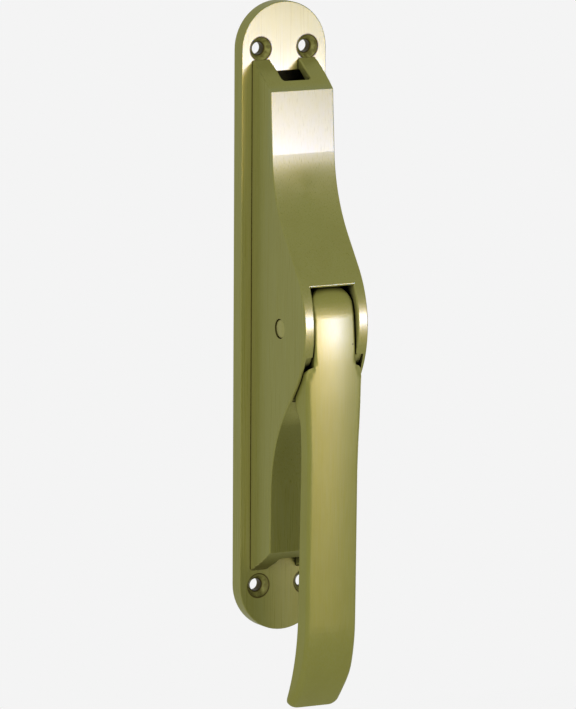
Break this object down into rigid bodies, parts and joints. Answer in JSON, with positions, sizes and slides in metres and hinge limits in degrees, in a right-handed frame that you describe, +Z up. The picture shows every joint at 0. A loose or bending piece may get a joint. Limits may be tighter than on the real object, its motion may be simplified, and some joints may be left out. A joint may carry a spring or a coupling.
{
  "type": "espagnolette bolt",
  "caption": "Surface-mounted espagnolette bolt: a long lever on a round-ended plate lifts forwards and draws an upper and a lower rod through racks and an idler.",
  "frame": {"origin": "middle of the plate's back face, on the wall, centre of the fixing holes", "axes": "+Z up along the plate, +Y into the wall, front towards -Y, +X to the right as seen from the front"},
  "size_m": [0.038, 0.0512, 0.2806],
  "materials": {
    "satin_brass": "satin brushed, lacquered",
    "plain_brass": "machined",
    "steel": "plain"
  },
  "bodies": {
    "casing": {"body_casting": "satin_brass", "back_cover": "plain_brass", "cover_screws": "steel", "pivot_pin": "satin_brass", "left_washer": "plain_brass", "right_washer": "plain_brass", "pinion_stud": "steel", "retaining_clip": "steel", "rack_guide": "plain_brass", "guide_screws": "steel"},
    "lever": {"lever": "satin_brass"},
    "upper_slide": {"upper_slide": "plain_brass"},
    "lower_slide": {"lower_slide": "plain_brass"},
    "idler": {"idler_pinion": "plain_brass"}
  },
  "joints": [
    {"name": "lever_swing", "type": "hinge", "parent": "casing", "child": "lever", "pos_m": [0, -0.0298, -0.0005], "axis": [-1, 0, 0], "range_deg": [0, 70]},
    {"name": "upper_slide_draw", "type": "slide", "parent": "casing", "child": "upper_slide", "axis": [0, 0, -1], "range_m": [0, 0.01711]},
    {"name": "lower_slide_draw", "type": "slide", "parent": "casing", "child": "lower_slide", "axis": [0, 0, 1], "range_m": [0, 0.01711]},
    {"name": "idler_spin", "type": "hinge", "parent": "casing", "child": "idler", "pos_m": [0, -0.0045, -0.03], "axis": [0, -1, 0], "range_deg": [0, 204.2]}
  ],
  "couplings": [
    {"joint": "upper_slide_draw", "follows": "lever_swing", "m_per_rad": 0.014},
    {"joint": "lower_slide_draw", "follows": "lever_swing", "m_per_rad": 0.014},
    {"joint": "idler_spin", "follows": "lever_swing", "ratio": 2.9167}
  ]
}
